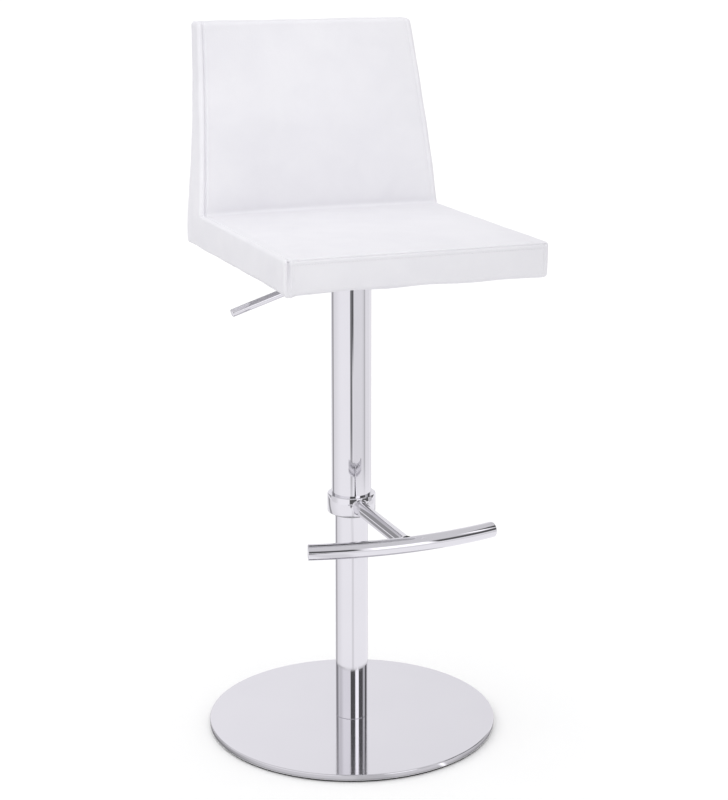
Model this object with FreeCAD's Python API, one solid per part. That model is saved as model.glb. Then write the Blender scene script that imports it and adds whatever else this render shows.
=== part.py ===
"""Swivel bar stool with a gas lift, a footrest bar and an upholstered seat and back, in millimetres.

The frame has +Z up and its origin on the floor, on the column's axis. The seat faces -Y and the
height lever points to -X, the sitter's right hand. Everything is drawn with the seat fully raised.
Each function below makes one piece of the stool, and PIECES at the end gives each piece its name.
"""
import FreeCAD, Part
import math
import os

# ---- driving dimensions -------------------------------------------------------------------------
# Base
plate_diameter = 443.0
plate_thickness = 9.0
plate_edge_bevel = 1.2
floor_pad_thickness = 3.0
floor_pad_inset = 3.0
base_screw_diameter = 8.0
base_screw_circle = 32.0
base_screw_count = 4
base_screw_head_diameter = 13.0
base_screw_head_height = 4.5
base_screw_length = 21.0
base_screw_hole_room = 2.0
tube_foot_height = 20.0
clip_pocket_height = 7.0
clip_pocket_diameter = 20.0

# Column
lower_tube_diameter = 50.0
lower_tube_wall = 2.0
upper_tube_wall = 2.0
column_gap = 3.0
column_overlap = 106.0
lift_travel = 220.0
cylinder_guide_length = 30.0
cylinder_guide_flange = 3.0
column_bush_length = 34.0
column_bush_lip = 3.5
hub_height = 50.0
hub_neck_height = 15.0
hub_low_gap = 11.0
hub_set_screw_length = 9.0
hub_set_screw_spread_deg = 35.0
hub_set_screw_diameter = 5.0

# Gas spring
cylinder_diameter = 28.0
cylinder_wall = 2.0
cylinder_bottom_gap = 1.0
cylinder_taper_length = 30.0
cylinder_taper_reduction = 1.0
cylinder_lever_gap = 1.3
cylinder_cap_thickness = 10.0
rod_diameter = 10.0
rod_shoulder_diameter = 16.0
rod_shoulder_height = 3.0
rod_guide_length = 22.0
rod_seal_thickness = 4.0
piston_length = 15.0
piston_stop_gap = 2.0
piston_ring_thickness = 3.0
piston_ring_depth = 2.0
bump_stop_height = 22.0
bump_stop_diameter = 22.0
race_thickness = 2.0
race_diameter = 24.0
ball_diameter = 4.0
ball_count = 10
ball_circle = 17.0
cage_thickness = 1.6
clip_thickness = 1.2
clip_diameter = 17.0
clip_groove_depth = 1.0
rod_tail = 3.0

# Release lever and valve
lever_diameter = 12.0
lever_pivot_offset = 22.0
lever_slope_deg = 17.7
lever_reach = 185.0
lever_inner_overhang = 4.0
lever_above_hub_bottom = 38.4
lever_lift_deg = 8.0
lever_end_round = 2.5
lever_slot_rise = 1.5
lever_pin_diameter = 4.0
lever_pin_recess = 1.5
valve_pin_diameter = 8.0
valve_pin_length = 14.0
valve_pin_round = 2.5
valve_pin_gap = 0.8

# Footrest
footrest_tube_diameter = 23.0
footrest_tube_wall = 2.0
footrest_reach = 221.0
footrest_span = 283.0
footrest_bow = 20.0
strut_diameter = 21.5
strut_wall = 2.0
collar_wall = 6.5
collar_height = 29.0
collar_bevel = 1.0
collar_screw_diameter = 8.0
collar_screw_recess = 1.0
collar_screw_spread_deg = 35.0
end_plug_depth = 12.0

# Seat and back
seat_height = 788.0
seat_thickness = 50.0
seat_width = 386.0
seat_front_reach = 262.0
back_top_height = 1068.0
back_top_width = 344.0
back_front_low = 125.0
back_front_high = 190.0
back_front_bow = 7.0
back_rear_floor = 200.0
back_rear_low = 197.0
back_rear_high = 229.5
back_rear_bow = 16.0
seat_back_crease_radius = 12.0
upholstery_corner_radius = 6.0
upholstery_edge_radius = 7.0
leather_thickness = 1.5
leather_wrap_under = 28.0
dust_cover_thickness = 1.0
seat_board_thickness = 15.0
back_board_thickness = 12.0
back_board_top_margin = 28.0
back_board_side_margin = 9.0
mounting_plate_size = 170.0
mounting_plate_thickness = 3.0
mounting_plate_corner = 14.0
plate_bolt_inset = 15.0
plate_bolt_diameter = 6.0
plate_bolt_head_diameter = 12.0
plate_bolt_head_height = 3.5
plate_bolt_tip_depth = 3.0
tee_nut_flange_diameter = 19.0
tee_nut_flange_height = 1.5
tee_nut_wall = 1.0
tee_nut_barrel_length = 10.0
bracket_count = 2
bracket_spacing = 200.0
bracket_width = 30.0
bracket_leg = 36.0
bracket_rise = 26.0
bracket_thickness = 3.0
bracket_screw_diameter = 4.0
bracket_screw_head_diameter = 8.0
bracket_screw_head_height = 2.0
bracket_screw_length = 8.0
bracket_foot_share = 0.6
bracket_hole_room = 1.0

# Screw sockets
socket_width_share = 0.5
socket_depth = 3.0

# Clearances
seat_fit = 0.05
running_fit = 0.1
loose_fit = 0.3

# ---- heights and radii that follow --------------------------------------------------------------
plate_bottom = floor_pad_thickness
plate_top = plate_bottom + plate_thickness
foot_top = plate_top + tube_foot_height

seat_bottom = seat_height - seat_thickness
hub_top = seat_bottom - mounting_plate_thickness
hub_bottom = hub_top - hub_height

lower_tube_outer = lower_tube_diameter / 2
lower_tube_inner = lower_tube_outer - lower_tube_wall
lower_tube_top = hub_bottom - lift_travel - hub_low_gap - cylinder_guide_flange
upper_tube_inner = lower_tube_outer + column_gap
upper_tube_outer = upper_tube_inner + upper_tube_wall
upper_tube_bottom = lower_tube_top - column_overlap
upper_tube_top = hub_bottom + hub_neck_height
collar_outer = upper_tube_outer + collar_wall
collar_bottom = upper_tube_bottom
collar_top = collar_bottom + collar_height
footrest_level = collar_bottom + collar_height / 2

lever_radius = lever_diameter / 2
lever_slope = math.radians(lever_slope_deg)
lifted_slope = math.radians(lever_slope_deg - lever_lift_deg)
lever_axis_height = hub_bottom + lever_above_hub_bottom
lever_pivot_height = lever_axis_height - lever_pivot_offset * math.tan(lever_slope)
valve_pin_top = lever_axis_height - lever_radius / math.cos(lever_slope) - valve_pin_gap

race_bottom = foot_top
ball_level = race_bottom + race_thickness + ball_diameter / 2
race_top = race_bottom + 2 * race_thickness + ball_diameter
shoulder_top = race_top + rod_shoulder_height
bump_stop_top = shoulder_top + bump_stop_height
rod_radius = rod_diameter / 2
clip_bottom = plate_top + clip_pocket_height - clip_thickness - loose_fit
rod_bottom = clip_bottom - rod_tail

cylinder_outer = cylinder_diameter / 2
cylinder_inner = cylinder_outer - cylinder_wall
cylinder_bottom = bump_stop_top + lift_travel + cylinder_bottom_gap
lifted_lever_underside = lever_pivot_height - lever_radius / math.cos(lifted_slope) \
    + (lever_pivot_offset - cylinder_outer) * math.tan(lifted_slope)
cylinder_top = lifted_lever_underside - cylinder_lever_gap
cylinder_taper_start = cylinder_top - cylinder_taper_length
rod_guide_top = cylinder_bottom + rod_guide_length
piston_bottom = rod_guide_top + rod_seal_thickness + piston_stop_gap

lever_pivot = FreeCAD.Vector(-lever_pivot_offset, 0, lever_pivot_height)
UP = FreeCAD.Vector(0, 0, 1)
ORIGIN = FreeCAD.Vector(0, 0, 0)


# ---- shape helpers ------------------------------------------------------------------------------
def point(x, y, z):
    return FreeCAD.Vector(x, y, z)


def rod(radius, bottom, top):
    """An upright round bar on the column's axis."""
    return Part.makeCylinder(radius, top - bottom, point(0, 0, bottom), UP)


def tube(outer, inner, bottom, top):
    """An upright tube on the column's axis."""
    return rod(outer, bottom, top).cut(rod(inner, bottom - 1, top + 1))


def bar_between(start, end, radius):
    """A round bar from one point to another."""
    along = end.sub(start)
    return Part.makeCylinder(radius, along.Length, start, along)


def box(x0, x1, y0, y1, z0, z1):
    """A box between two corners."""
    return Part.makeBox(x1 - x0, y1 - y0, z1 - z0, point(x0, y0, z0))


def socket_radius(screw_diameter):
    """The radius of the socket in a screw's head or end."""
    return screw_diameter * socket_width_share / 2


def revolve(profile):
    """Turns an outline of (radius, height) points round the column's axis."""
    points = [point(r, 0, z) for r, z in profile]
    face = Part.Face(Part.makePolygon(points + points[:1]))
    return face.revolve(ORIGIN, UP, 360)


def pair_at_back(shape, spread_deg):
    """Two copies of a shape that points to the rear, turned round the axis to either side."""
    copies = []
    for side in (-1, 1):
        copy = shape.copy()
        copy.rotate(ORIGIN, UP, side * spread_deg)
        copies.append(copy)
    return copies


def cut_all(shape, tools):
    """A shape with every tool cut out of it."""
    for tool in tools:
        shape = shape.cut(tool)
    return shape


# ---- base ---------------------------------------------------------------------------------------
def base_screw_places():
    """The floor-side points of the screws that hold the column's foot to the plate."""
    radius = base_screw_circle / 2
    angles = [math.radians(45 + 360.0 * i / base_screw_count) for i in range(base_screw_count)]
    return [point(radius * math.cos(a), radius * math.sin(a), plate_bottom) for a in angles]


def screw_head_cone(place, grow):
    """A countersunk head's cone, wide end down, flush with the plate's underside."""
    return Part.makeCone(base_screw_head_diameter / 2 + grow, base_screw_diameter / 2 + grow,
                         base_screw_head_height, place, UP)


def base_plate():
    """The round steel plate, bevelled at its top and bottom edges, with countersunk screw holes."""
    outer = plate_diameter / 2
    bevel = plate_edge_bevel
    disc = revolve([(0, plate_bottom), (outer - bevel, plate_bottom), (outer, plate_bottom + bevel),
                    (outer, plate_top - bevel), (outer - bevel, plate_top), (0, plate_top)])
    holes = []
    for place in base_screw_places():
        holes.append(Part.makeCylinder(base_screw_diameter / 2 + seat_fit, plate_thickness, place, UP))
        holes.append(screw_head_cone(place, seat_fit))
    return cut_all(disc, holes)


def floor_pad():
    """The soft disc glued under the plate that the stool stands on, a little smaller than it."""
    return rod(plate_diameter / 2 - floor_pad_inset, 0, plate_bottom)


def tube_foot():
    """The steel plug in the foot of the lower tube: screws pull it down, and the rod turns in it."""
    plug = rod(lower_tube_inner - seat_fit, plate_top, foot_top)
    holes = [rod(rod_radius + running_fit, plate_top, foot_top),
             rod(clip_pocket_diameter / 2, plate_top, plate_top + clip_pocket_height)]
    for place in base_screw_places():
        holes.append(Part.makeCylinder(base_screw_diameter / 2 + seat_fit,
                                       base_screw_length + base_screw_hole_room, place, UP))
    return cut_all(plug, holes)


def base_screws():
    """Countersunk socket screws, up through the plate into the tube's foot."""
    screws = []
    for place in base_screw_places():
        shank = Part.makeCylinder(base_screw_diameter / 2, base_screw_length, place, UP)
        socket = Part.makeCylinder(socket_radius(base_screw_diameter), socket_depth, place, UP)
        screws.append(shank.fuse(screw_head_cone(place, 0)).cut(socket))
    return Part.makeCompound(screws)


# ---- column -------------------------------------------------------------------------------------
def lower_tube():
    """The fixed chromed tube, standing on the plate."""
    return tube(lower_tube_outer, lower_tube_inner, plate_top, lower_tube_top)


def cylinder_guide():
    """The flanged plastic bush in the top of the lower tube that the gas cylinder slides in."""
    body = rod(lower_tube_inner - seat_fit, lower_tube_top - cylinder_guide_length, lower_tube_top)
    flange = rod(lower_tube_outer, lower_tube_top, lower_tube_top + cylinder_guide_flange)
    bore = rod(cylinder_outer + running_fit, lower_tube_top - cylinder_guide_length - 1,
               lower_tube_top + cylinder_guide_flange + 1)
    return body.fuse(flange).cut(bore).removeSplitter()


def upper_tube():
    """The wider chromed tube that hangs from the hub and slides over the lower tube."""
    shell = tube(upper_tube_outer, upper_tube_inner, upper_tube_bottom, upper_tube_top)
    return cut_all(shell, hub_screw_shapes(seat_fit))


def column_bush():
    """The plastic bush in the mouth of the upper tube. Its lip shows under the collar."""
    bottom = upper_tube_bottom
    lip = rod((upper_tube_outer + upper_tube_inner) / 2, bottom - column_bush_lip, bottom)
    body = rod(upper_tube_inner - seat_fit, bottom, bottom + column_bush_length)
    bore = rod(lower_tube_outer + running_fit, bottom - column_bush_lip - 1,
               bottom + column_bush_length + 1)
    return body.fuse(lip).cut(bore).removeSplitter()


def hub_screw_shapes(grow):
    """The two set screws that lock the upper tube to the hub's neck, at the back."""
    level = hub_bottom + hub_neck_height / 2
    screw = bar_between(point(0, upper_tube_outer - hub_set_screw_length, level),
                        point(0, upper_tube_outer, level), hub_set_screw_diameter / 2 + grow)
    return pair_at_back(screw, hub_set_screw_spread_deg)


def hub_set_screws():
    """The set screws themselves, each with a socket."""
    level = hub_bottom + hub_neck_height / 2
    socket = bar_between(point(0, upper_tube_outer - socket_depth, level),
                         point(0, upper_tube_outer + 1, level), socket_radius(hub_set_screw_diameter))
    sockets = pair_at_back(socket, hub_set_screw_spread_deg)
    return Part.makeCompound([screw.cut(hole) for screw, hole in zip(hub_screw_shapes(0), sockets)])


def taper_hub():
    """The steel hub under the mounting plate: a neck for the tube, a taper for the gas cylinder,
    and a slot for the lever."""
    neck = rod(upper_tube_inner - seat_fit, hub_bottom, upper_tube_top)
    head = rod(upper_tube_outer, upper_tube_top, hub_top)
    body = neck.fuse(head).removeSplitter()
    straight = rod(cylinder_outer + seat_fit, cylinder_taper_start - hub_height, cylinder_taper_start)
    taper = Part.makeCone(cylinder_outer + seat_fit,
                          cylinder_outer - cylinder_taper_reduction + seat_fit,
                          cylinder_taper_length, point(0, 0, cylinder_taper_start), UP)
    chamber = rod(cylinder_outer - cylinder_taper_reduction + seat_fit, cylinder_top, hub_top + 1)
    half_slot = lever_radius + loose_fit
    slot = box(-upper_tube_outer - 1, 0, -half_slot, half_slot,
               upper_tube_top + lever_slot_rise, hub_top + 1)
    pin_hole = bar_between(across_hub(-1, -1), across_hub(1, -1), lever_pin_diameter / 2 + seat_fit)
    return cut_all(body, [straight, taper, chamber, slot, pin_hole] + hub_screw_shapes(seat_fit))


def mounting_plate():
    """The square steel plate between the hub and the seat board, bolted at its corners."""
    half = mounting_plate_size / 2
    plate = box(-half, half, -half, half, hub_top, seat_bottom)
    upright = [edge for edge in plate.Edges if abs(edge.tangentAt(edge.FirstParameter).z) > 0.9]
    plate = plate.makeFillet(mounting_plate_corner, upright)
    holes = [Part.makeCylinder(plate_bolt_diameter / 2 + seat_fit, mounting_plate_thickness,
                               point(x, y, hub_top), UP) for x, y in plate_bolt_places()]
    return cut_all(plate, holes)


# ---- gas spring ---------------------------------------------------------------------------------
def gas_cylinder():
    """The gas spring's steel cylinder, tapered at its top to jam in the hub."""
    top_radius = cylinder_outer - cylinder_taper_reduction
    outside = revolve([(0, cylinder_bottom), (cylinder_outer, cylinder_bottom),
                       (cylinder_outer, cylinder_taper_start), (top_radius, cylinder_top),
                       (0, cylinder_top)])
    inside = rod(cylinder_inner, cylinder_bottom - 1, cylinder_top - cylinder_cap_thickness)
    valve_bore = rod(valve_pin_diameter / 2 + running_fit, cylinder_bottom, cylinder_top + 1)
    return cut_all(outside, [inside, valve_bore])


def rod_guide():
    """The guide in the cylinder's mouth that the piston rod passes through."""
    return tube(cylinder_inner - seat_fit, rod_radius + running_fit, cylinder_bottom, rod_guide_top)


def rod_seal():
    """The rubber lip seal above the rod guide."""
    return tube(cylinder_inner - seat_fit, rod_radius + running_fit, rod_guide_top,
                rod_guide_top + rod_seal_thickness)


def piston_rod():
    """The rod that stands on the thrust bearing and carries the piston."""
    shaft = rod(rod_radius, rod_bottom, piston_bottom)
    shoulder = rod(rod_shoulder_diameter / 2, race_top, shoulder_top)
    groove = tube(rod_radius + 1, rod_radius - clip_groove_depth, clip_bottom,
                  clip_bottom + clip_thickness)
    return shaft.fuse(shoulder).cut(groove)


def piston():
    """The piston at the rod's top, grooved for its ring."""
    middle = piston_bottom + piston_length / 2
    body = rod(cylinder_inner - running_fit, piston_bottom, piston_bottom + piston_length)
    groove = tube(cylinder_inner + 1, cylinder_inner - running_fit - piston_ring_depth,
                  middle - piston_ring_thickness / 2, middle + piston_ring_thickness / 2)
    return body.cut(groove)


def piston_ring():
    """The sealing ring in the piston's groove."""
    middle = piston_bottom + piston_length / 2
    outer = cylinder_inner - running_fit
    return tube(outer, outer - piston_ring_depth, middle - piston_ring_thickness / 2,
                middle + piston_ring_thickness / 2)


def bump_stop():
    """The rubber buffer that the cylinder meets at the bottom of its travel."""
    outer = bump_stop_diameter / 2
    body = tube(outer, rod_radius + seat_fit, shoulder_top, bump_stop_top)
    waist = tube(outer + 1, outer - 2, shoulder_top + bump_stop_height * 0.4,
                 shoulder_top + bump_stop_height * 0.6)
    return body.cut(waist)


def thrust_race(bottom, bore_gap):
    """A flat bearing washer."""
    return tube(race_diameter / 2, rod_radius + bore_gap, bottom, bottom + race_thickness)


def bearing_ball_places():
    """The centres of the thrust bearing's balls."""
    radius = ball_circle / 2
    angles = [2 * math.pi * i / ball_count for i in range(ball_count)]
    return [point(radius * math.cos(a), radius * math.sin(a), ball_level) for a in angles]


def thrust_balls():
    """The balls between the two washers."""
    size = ball_diameter / 2 - running_fit / 2
    return Part.makeCompound([Part.makeSphere(size, place) for place in bearing_ball_places()])


def ball_cage():
    """The brass cage that spaces the balls."""
    half = cage_thickness / 2
    ring = tube(race_diameter / 2 - 0.5, rod_radius + loose_fit, ball_level - half, ball_level + half)
    pockets = [Part.makeCylinder(ball_diameter / 2 + running_fit, cage_thickness + 2,
                                 place - point(0, 0, half + 1), UP)
               for place in bearing_ball_places()]
    return cut_all(ring, pockets)


def rod_clip():
    """The spring clip under the tube's foot that keeps the rod from pulling out."""
    washer = tube(clip_diameter / 2, rod_radius - clip_groove_depth + seat_fit, clip_bottom,
                  clip_bottom + clip_thickness)
    mouth = box(0, clip_diameter, -rod_radius * 0.6, rod_radius * 0.6, clip_bottom - 1,
                clip_bottom + clip_thickness + 1)
    return washer.cut(mouth)


# ---- release lever ------------------------------------------------------------------------------
def across_hub(side, recess):
    """A point on the lever pin's axis, that much inside the hub's surface."""
    reach = math.sqrt(upper_tube_outer ** 2 - lever_pivot_offset ** 2) - recess
    return lever_pivot + point(0, side * reach, 0)


def along_lever(x):
    """The point of the lever's centreline at a given x."""
    return point(x, 0, lever_axis_height + x * math.tan(lever_slope))


def height_lever():
    """The round lever: its inner end lies on the valve pin, and the hand lifts its outer end."""
    bar = bar_between(along_lever(lever_inner_overhang), along_lever(-lever_reach), lever_radius)
    rims = [edge for edge in bar.Edges if edge.Closed and edge.Length < 4 * lever_diameter]
    bar = bar.makeFillet(lever_end_round, rims)
    hole = bar_between(across_hub(-1, 0), across_hub(1, 0), lever_pin_diameter / 2 + running_fit)
    return bar.cut(hole)


def lever_pin():
    """The pivot pin across the hub's slot."""
    return bar_between(across_hub(-1, lever_pin_recess), across_hub(1, lever_pin_recess),
                       lever_pin_diameter / 2)


def valve_pin():
    """The gas spring's release pin, rounded where the lever bears on it."""
    pin = rod(valve_pin_diameter / 2, valve_pin_top - valve_pin_length, valve_pin_top)
    rim = [edge for edge in pin.Edges if edge.Closed and edge.BoundBox.ZMin > valve_pin_top - 0.1]
    return pin.makeFillet(valve_pin_round, rim)


# ---- footrest -----------------------------------------------------------------------------------
def bow_radius():
    """The radius of the footrest bar's centreline, from its span and its bow."""
    half = footrest_span / 2
    return (half * half + footrest_bow * footrest_bow) / (2 * footrest_bow)


def bow_sweep(radius, trim_deg=0.0):
    """A round bar bent along the footrest's arc, shorter at each end by trim_deg."""
    bend = bow_radius()
    centre = point(0, bend - footrest_reach, footrest_level)
    half_angle = math.degrees(math.asin(footrest_span / 2 / bend)) - trim_deg
    section = Part.Face(Part.Wire(Part.makeCircle(radius, centre + point(0, -bend, 0),
                                                  point(1, 0, 0))))
    section.rotate(centre, UP, -half_angle)
    return section.revolve(centre, UP, 2 * half_angle)


def footrest_bar():
    """The bent chromed tube that the feet rest on."""
    outer = footrest_tube_diameter / 2
    return bow_sweep(outer).cut(bow_sweep(outer - footrest_tube_wall, -1.0))


def bar_end_plugs():
    """The plugs pushed into the bar's two ends."""
    bore = footrest_tube_diameter / 2 - footrest_tube_wall - seat_fit
    plug_deg = math.degrees(end_plug_depth / bow_radius())
    whole = bow_sweep(bore)
    return Part.makeCompound(whole.cut(bow_sweep(bore + 1, plug_deg)).Solids)


def footrest_strut():
    """The straight tube from the collar to the bar, shaped to fit against both."""
    start = point(0, -upper_tube_outer, footrest_level)
    end = point(0, -footrest_reach, footrest_level)
    outside = bar_between(start, end, strut_diameter / 2)
    inside = bar_between(start, end, strut_diameter / 2 - strut_wall)
    strut = outside.cut(inside).cut(bow_sweep(footrest_tube_diameter / 2 + seat_fit))
    strut = strut.cut(rod(upper_tube_outer + seat_fit, collar_bottom, collar_top))
    return largest_solid(strut)


def largest_solid(shape):
    """The biggest solid of a cut shape."""
    return max(shape.Solids, key=lambda solid: solid.Volume)


def collar_set_screws():
    """The collar's two set screws, at the back, each with a socket."""
    tip = upper_tube_outer + seat_fit
    head = collar_outer - collar_screw_recess
    screw = bar_between(point(0, tip, footrest_level), point(0, head, footrest_level),
                        collar_screw_diameter / 2)
    socket = bar_between(point(0, head - socket_depth, footrest_level),
                         point(0, head + 1, footrest_level), socket_radius(collar_screw_diameter))
    curved_tip = rod(tip, collar_bottom, collar_top)
    return Part.makeCompound(pair_at_back(cut_all(screw, [socket, curved_tip]),
                                          collar_screw_spread_deg))


def footrest_collar():
    """The turned ring at the upper tube's mouth that carries the footrest."""
    outer = collar_outer
    inner = upper_tube_outer + seat_fit
    bevel = collar_bevel
    ring = revolve([(inner, collar_bottom), (outer - bevel, collar_bottom),
                    (outer, collar_bottom + bevel), (outer, collar_top - bevel),
                    (outer - bevel, collar_top), (inner, collar_top)])
    socket = bar_between(point(0, 0, footrest_level), point(0, -2 * collar_outer, footrest_level),
                         strut_diameter / 2 + seat_fit)
    screw_hole = bar_between(point(0, 0, footrest_level), point(0, 2 * collar_outer, footrest_level),
                             collar_screw_diameter / 2 + seat_fit)
    return cut_all(ring, [socket] + pair_at_back(screw_hole, collar_screw_spread_deg))


# ---- seat and back ------------------------------------------------------------------------------
def bowed(low, high, bow, z_low, z_high):
    """A circle in the side view: its middle (y, z) and its radius, so that its arc from
    (low, z_low) to (high, z_high) bows towards the front by bow."""
    run, rise = high - low, z_high - z_low
    chord = math.hypot(run, rise)
    radius = (chord * chord / 4 + bow * bow) / (2 * bow)
    behind = radius - bow
    return (low + high) / 2 + behind * rise / chord, (z_low + z_high) / 2 - behind * run / chord, radius


def on_bow(circle, z, inset):
    """The point at height z of a bowed line that is moved towards the rear by inset."""
    centre_y, centre_z, radius = circle
    radius = radius - inset
    return point(0, centre_y - math.sqrt(radius * radius - (z - centre_z) ** 2), z)


def back_front_circle():
    """The bowed line of the back's front face."""
    return bowed(back_front_low, back_front_high, back_front_bow, seat_height, back_top_height)


def back_rear_circle():
    """The bowed line of the back's rear face."""
    return bowed(back_rear_low, back_rear_high, back_rear_bow, seat_height, back_top_height)


def rear_y(z, inset):
    """The rear face below the seat's top, moved in by inset: it leans out towards the floor."""
    slope = (back_rear_floor - back_rear_low) / seat_thickness
    return on_bow(back_rear_circle(), seat_height, -inset).y + slope * (seat_height - z)


def rear_point(z, inset):
    """The rear face's point at height z, moved in by inset."""
    return point(0, rear_y(z, inset), z)


def upholstery_side_face(inset):
    """The L-shaped side view of the seat and back, moved in by inset."""
    top = back_top_height - inset
    bottom = seat_bottom + inset
    seat_top = seat_height - inset
    front_edge = -seat_front_reach + inset
    front, rear = back_front_circle(), back_rear_circle()
    front_foot, front_top = on_bow(front, seat_top, inset), on_bow(front, top, inset)
    rear_top, rear_knee = on_bow(rear, top, -inset), on_bow(rear, seat_height, -inset)
    middle = (seat_height + top) / 2
    edges = [Part.LineSegment(point(0, front_edge, bottom), point(0, front_edge, seat_top)),
             Part.LineSegment(point(0, front_edge, seat_top), front_foot),
             Part.Arc(front_foot, on_bow(front, middle, inset), front_top),
             Part.LineSegment(front_top, rear_top),
             Part.Arc(rear_top, on_bow(rear, middle, -inset), rear_knee),
             Part.LineSegment(rear_knee, rear_point(bottom, inset)),
             Part.LineSegment(rear_point(bottom, inset), point(0, front_edge, bottom))]
    return Part.Face(Part.Wire([edge.toShape() for edge in edges]))


def half_width(z, inset):
    """Half the upholstery's width at a height: straight up to the seat, then tapering."""
    share = max(0.0, (z - seat_height) / (back_top_height - seat_height))
    return (seat_width + (back_top_width - seat_width) * share) / 2 - inset


def front_outline(side_inset, end_inset):
    """The front view of the seat and back, moved in at its sides and at its top and bottom."""
    levels = [seat_bottom + end_inset, seat_height, back_top_height - end_inset]
    right = [point(half_width(z, side_inset), 0, z) for z in levels]
    left = [point(-half_width(z, side_inset), 0, z) for z in reversed(levels)]
    return Part.Face(Part.makePolygon(right + left + right[:1]))


def across(face, reach):
    """A face carried through the whole object, half the way to each side of where it lies."""
    face.translate(reach * -0.5)
    return face.extrude(reach)


def edges_along(shape, direction):
    """The straight edges of a shape that run along a direction."""
    return [edge for edge in shape.Edges
            if abs(edge.tangentAt(edge.FirstParameter).dot(direction)) > 1 - 1e-6]


def upholstery_solid(inset):
    """The seat and back as one block, moved in by inset, with its outer edges rounded."""
    edge_round = upholstery_edge_radius - inset
    long_block = across(upholstery_side_face(inset), point(2 * seat_width, 0, 0))
    crease = []
    outer = []
    for edge in edges_along(long_block, point(1, 0, 0)):
        place = edge.CenterOfMass
        if abs(place.z - seat_height) < inset + 1 and place.y > -seat_front_reach + inset + 1:
            if place.y < (back_front_low + back_rear_low) / 2:
                crease.append(edge)
        else:
            outer.append(edge)
    long_block = long_block.makeFillet(edge_round, outer)
    crease = [edge for edge in edges_along(long_block, point(1, 0, 0))
              if edge.CenterOfMass.distanceToPoint(crease[0].CenterOfMass) < 1]
    long_block = long_block.makeFillet(seat_back_crease_radius + inset, crease)
    tall_block = across(front_outline(inset, inset), point(0, 4 * seat_width, 0))
    corners = [edge for edge in edges_along(tall_block, point(0, 1, 0))
               if abs(edge.CenterOfMass.z - seat_height) > 1]
    tall_block = tall_block.makeFillet(edge_round, corners)
    plan = box(-seat_width / 2 + inset, seat_width / 2 - inset, -seat_front_reach + inset,
               2 * seat_width, seat_bottom, back_top_height)
    front_corners = [edge for edge in edges_along(plan, UP) if edge.CenterOfMass.y < 0]
    plan = plan.makeFillet(upholstery_corner_radius - inset, front_corners)
    return long_block.common(tall_block).common(plan)


def below(z):
    """Everything under a level."""
    return box(-seat_width, seat_width, -2 * seat_width, 2 * seat_width, 0, z)


def padding():
    """The space inside the leather."""
    return upholstery_solid(leather_thickness)


def underside_window(grow):
    """The opening in the leather under the seat, where it is turned in and stapled."""
    half = seat_width / 2 - leather_wrap_under + grow
    front = -seat_front_reach + leather_wrap_under - grow
    rear = back_rear_low - leather_wrap_under + grow
    return box(-half, half, front, rear, seat_bottom - 1, seat_bottom + leather_thickness)


def leather_skin():
    """The whole leather skin round the padding, open where it is stapled under the seat."""
    return upholstery_solid(0.0).cut(padding()).cut(underside_window(0.0))


def between_side_panels():
    """The space between the two side panels."""
    return across(front_outline(leather_thickness, -1.0), point(0, 4 * seat_width, 0))


def side_panel(side):
    """One L-shaped side panel of the cover, from the seat's side up the back's side."""
    panels = leather_skin().cut(between_side_panels()).Solids
    return largest_solid(Part.makeCompound([p for p in panels if p.CenterOfMass.x * side > 0]))


def centre_panel():
    """The long panel over the front, the seat, the back and its rear, turned in under the seat."""
    return largest_solid(leather_skin().common(between_side_panels()))


def dust_cover():
    """The grey cloth panel that closes the underside inside the turned-in leather."""
    half = seat_width / 2 - leather_wrap_under - loose_fit
    front = -seat_front_reach + leather_wrap_under + loose_fit
    rear = back_rear_low - leather_wrap_under - loose_fit
    top = seat_bottom + leather_thickness
    panel = box(-half, half, front, rear, top - dust_cover_thickness, top)
    pad = mounting_plate_size / 2 + loose_fit
    return panel.cut(box(-pad, pad, -pad, pad, seat_bottom, top + 1))


def plate_spacer():
    """The hardboard spacer between the mounting plate and the seat board."""
    half = mounting_plate_size / 2
    block = box(-half, half, -half, half, seat_bottom, seat_bottom + leather_thickness)
    holes = [Part.makeCylinder(plate_bolt_diameter / 2 + seat_fit, leather_thickness,
                               point(x, y, seat_bottom), UP) for x, y in plate_bolt_places()]
    return cut_all(block, holes)


def board_top():
    return seat_bottom + leather_thickness + seat_board_thickness


def back_board():
    """The bent plywood board behind the padding of the back, down to the seat's underside."""
    behind = leather_thickness
    ahead = leather_thickness + back_board_thickness
    bottom = seat_bottom + leather_thickness
    top = back_top_height - back_board_top_margin
    middle = (seat_height + top) / 2
    line = back_rear_circle()
    rear_top, front_top = on_bow(line, top, -behind), on_bow(line, top, -ahead)
    rear_knee, front_knee = rear_point(seat_height, behind), rear_point(seat_height, ahead)
    edges = [Part.LineSegment(rear_point(bottom, behind), rear_knee),
             Part.Arc(rear_knee, on_bow(line, middle, -behind), rear_top),
             Part.LineSegment(rear_top, front_top),
             Part.Arc(front_top, on_bow(line, middle, -ahead), front_knee),
             Part.LineSegment(front_knee, rear_point(bottom, ahead)),
             Part.LineSegment(rear_point(bottom, ahead), rear_point(bottom, behind))]
    face = Part.Face(Part.Wire([edge.toShape() for edge in edges]))
    outline = front_outline(leather_thickness + back_board_side_margin, leather_thickness)
    panel = across(face, point(2 * seat_width, 0, 0))
    return panel.common(across(outline, point(0, 4 * seat_width, 0))).common(padding())


def behind_board_front():
    """The space behind the back board's front face, next to the seat board."""
    ahead = leather_thickness + back_board_thickness
    corners = [rear_point(seat_bottom, ahead), rear_point(seat_height, ahead),
               point(0, 2 * seat_width, seat_height), point(0, 2 * seat_width, seat_bottom)]
    return across(Part.Face(Part.makePolygon(corners + corners[:1])), point(2 * seat_width, 0, 0))


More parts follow.
